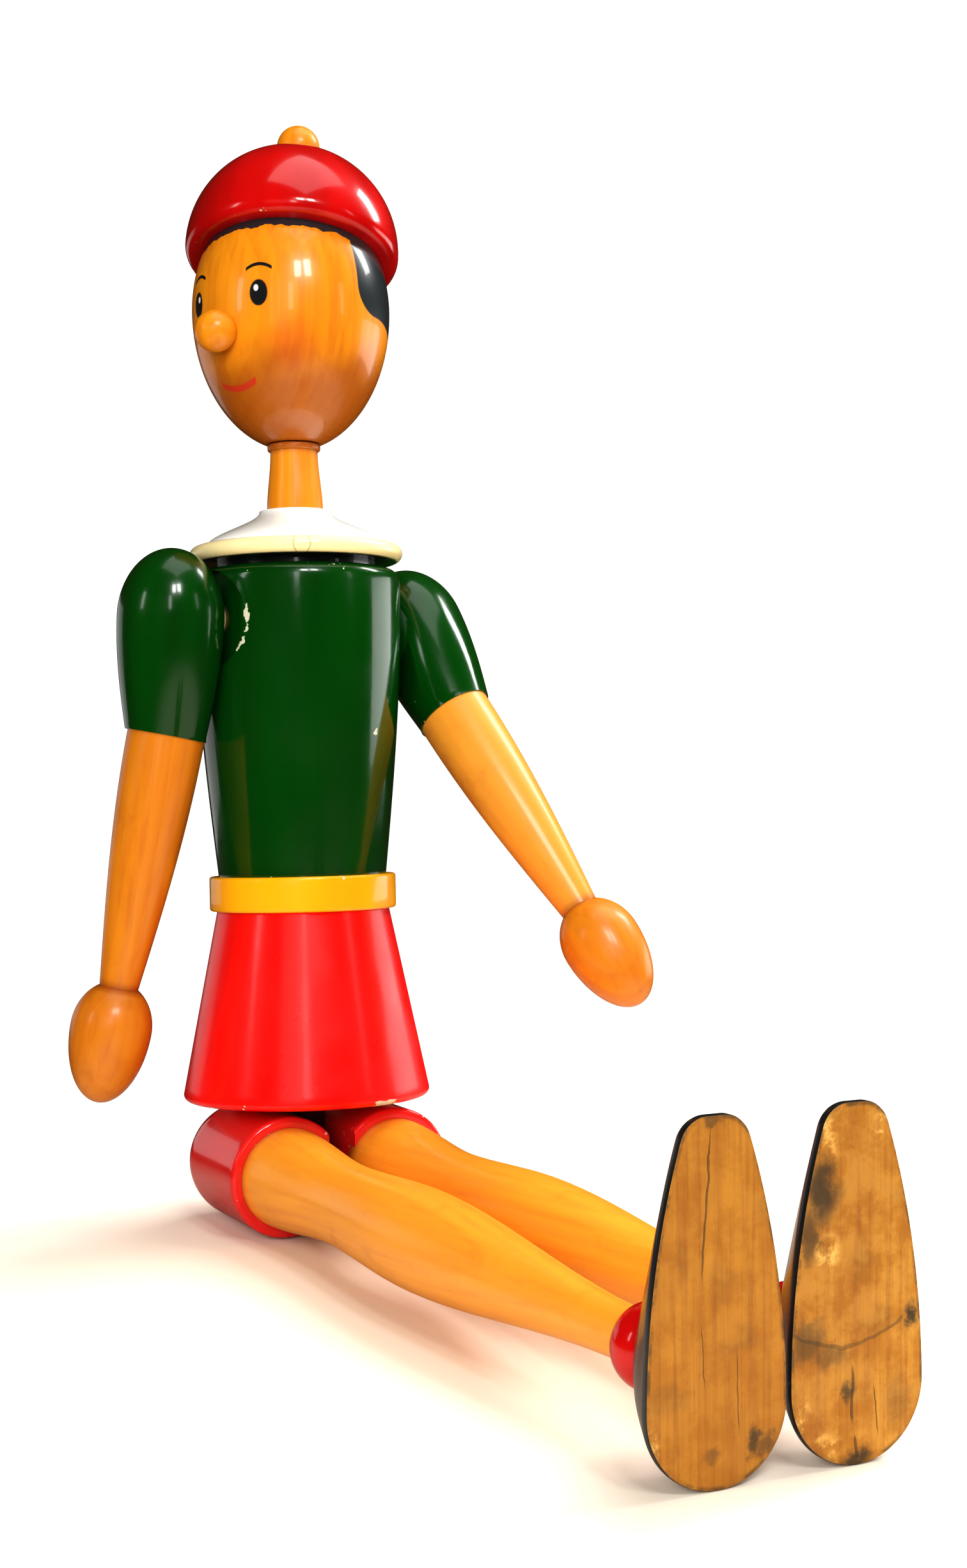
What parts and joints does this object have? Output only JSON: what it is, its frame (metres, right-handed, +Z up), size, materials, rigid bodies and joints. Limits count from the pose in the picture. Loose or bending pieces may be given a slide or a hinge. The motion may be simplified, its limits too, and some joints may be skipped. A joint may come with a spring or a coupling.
{
  "type": "jointed wooden doll",
  "caption": "Turned wooden peg doll, lacquered and natural wood, with a turning head and arms and legs that swing on pegs; it sits or stands.",
  "frame": {"origin": "floor level, under the middle of the seated doll's outline", "axes": "+Z up, the doll faces -Y with its legs out in front, +X is the doll's left"},
  "size_m": [0.1666, 0.3206, 0.3546],
  "materials": {
    "honey_wood": "clear gloss lacquer on turned wood",
    "green_lacquer": "dark green gloss lacquer on wood",
    "red_lacquer": "red gloss lacquer on wood",
    "yellow_lacquer": "yellow gloss lacquer on wood",
    "white_lacquer": "white gloss lacquer on wood",
    "shoe_black": "black satin paint, bare sole",
    "dowel_wood": "plain dowel",
    "pin_steel": "plain steel"
  },
  "bodies": {
    "trunk": {"hip_block": "dowel_wood", "hip_axle": "dowel_wood", "skirt": "red_lacquer", "belt": "yellow_lacquer", "waist_dowel": "dowel_wood", "torso": "green_lacquer", "shoulder_pins": "pin_steel", "collar": "white_lacquer", "neck": "honey_wood"},
    "head": {"head": "honey_wood", "nose": "honey_wood", "cap": "red_lacquer", "cap_knob": "honey_wood", "cap_dowel": "dowel_wood", "head_pin": "pin_steel"},
    "right_arm": {"right_sleeve": "green_lacquer", "right_forearm": "honey_wood", "right_hand": "honey_wood", "right_shoulder_peg": "dowel_wood"},
    "left_arm": {"left_sleeve": "green_lacquer", "left_forearm": "honey_wood", "left_hand": "honey_wood", "left_shoulder_peg": "dowel_wood"},
    "right_leg": {"right_thigh_cuff": "red_lacquer", "right_leg": "honey_wood", "right_ankle_bead": "red_lacquer", "right_shoe": "shoe_black", "right_hip_pin": "pin_steel"},
    "left_leg": {"left_thigh_cuff": "red_lacquer", "left_leg": "honey_wood", "left_ankle_bead": "red_lacquer", "left_shoe": "shoe_black", "left_hip_pin": "pin_steel"}
  },
  "joints": [
    {"name": "neck_turn", "type": "hinge", "parent": "trunk", "child": "head", "pos_m": [-0.00642, 0.12037, 0.24802], "axis": [0, 0.0488, 0.9988], "continuous": true},
    {"name": "right_shoulder", "type": "hinge", "parent": "trunk", "child": "right_arm", "pos_m": [-0.0522, 0.10782, 0.19066], "axis": [0.9781, 0.2077, -0.0102], "range_deg": [-135, 120]},
    {"name": "left_shoulder", "type": "hinge", "parent": "trunk", "child": "left_arm", "pos_m": [0.03936, 0.12726, 0.18971], "axis": [0.9781, 0.2077, -0.0102], "range_deg": [-90, 160]},
    {"name": "right_hip", "type": "hinge", "parent": "trunk", "child": "right_leg", "pos_m": [-0.02412, 0.11715, 0.0185], "axis": [1, 0, 0], "range_deg": [-3, 150]},
    {"name": "left_hip", "type": "hinge", "parent": "trunk", "child": "left_leg", "pos_m": [0.01128, 0.11715, 0.0185], "axis": [1, 0, 0], "range_deg": [-3, 150]}
  ]
}
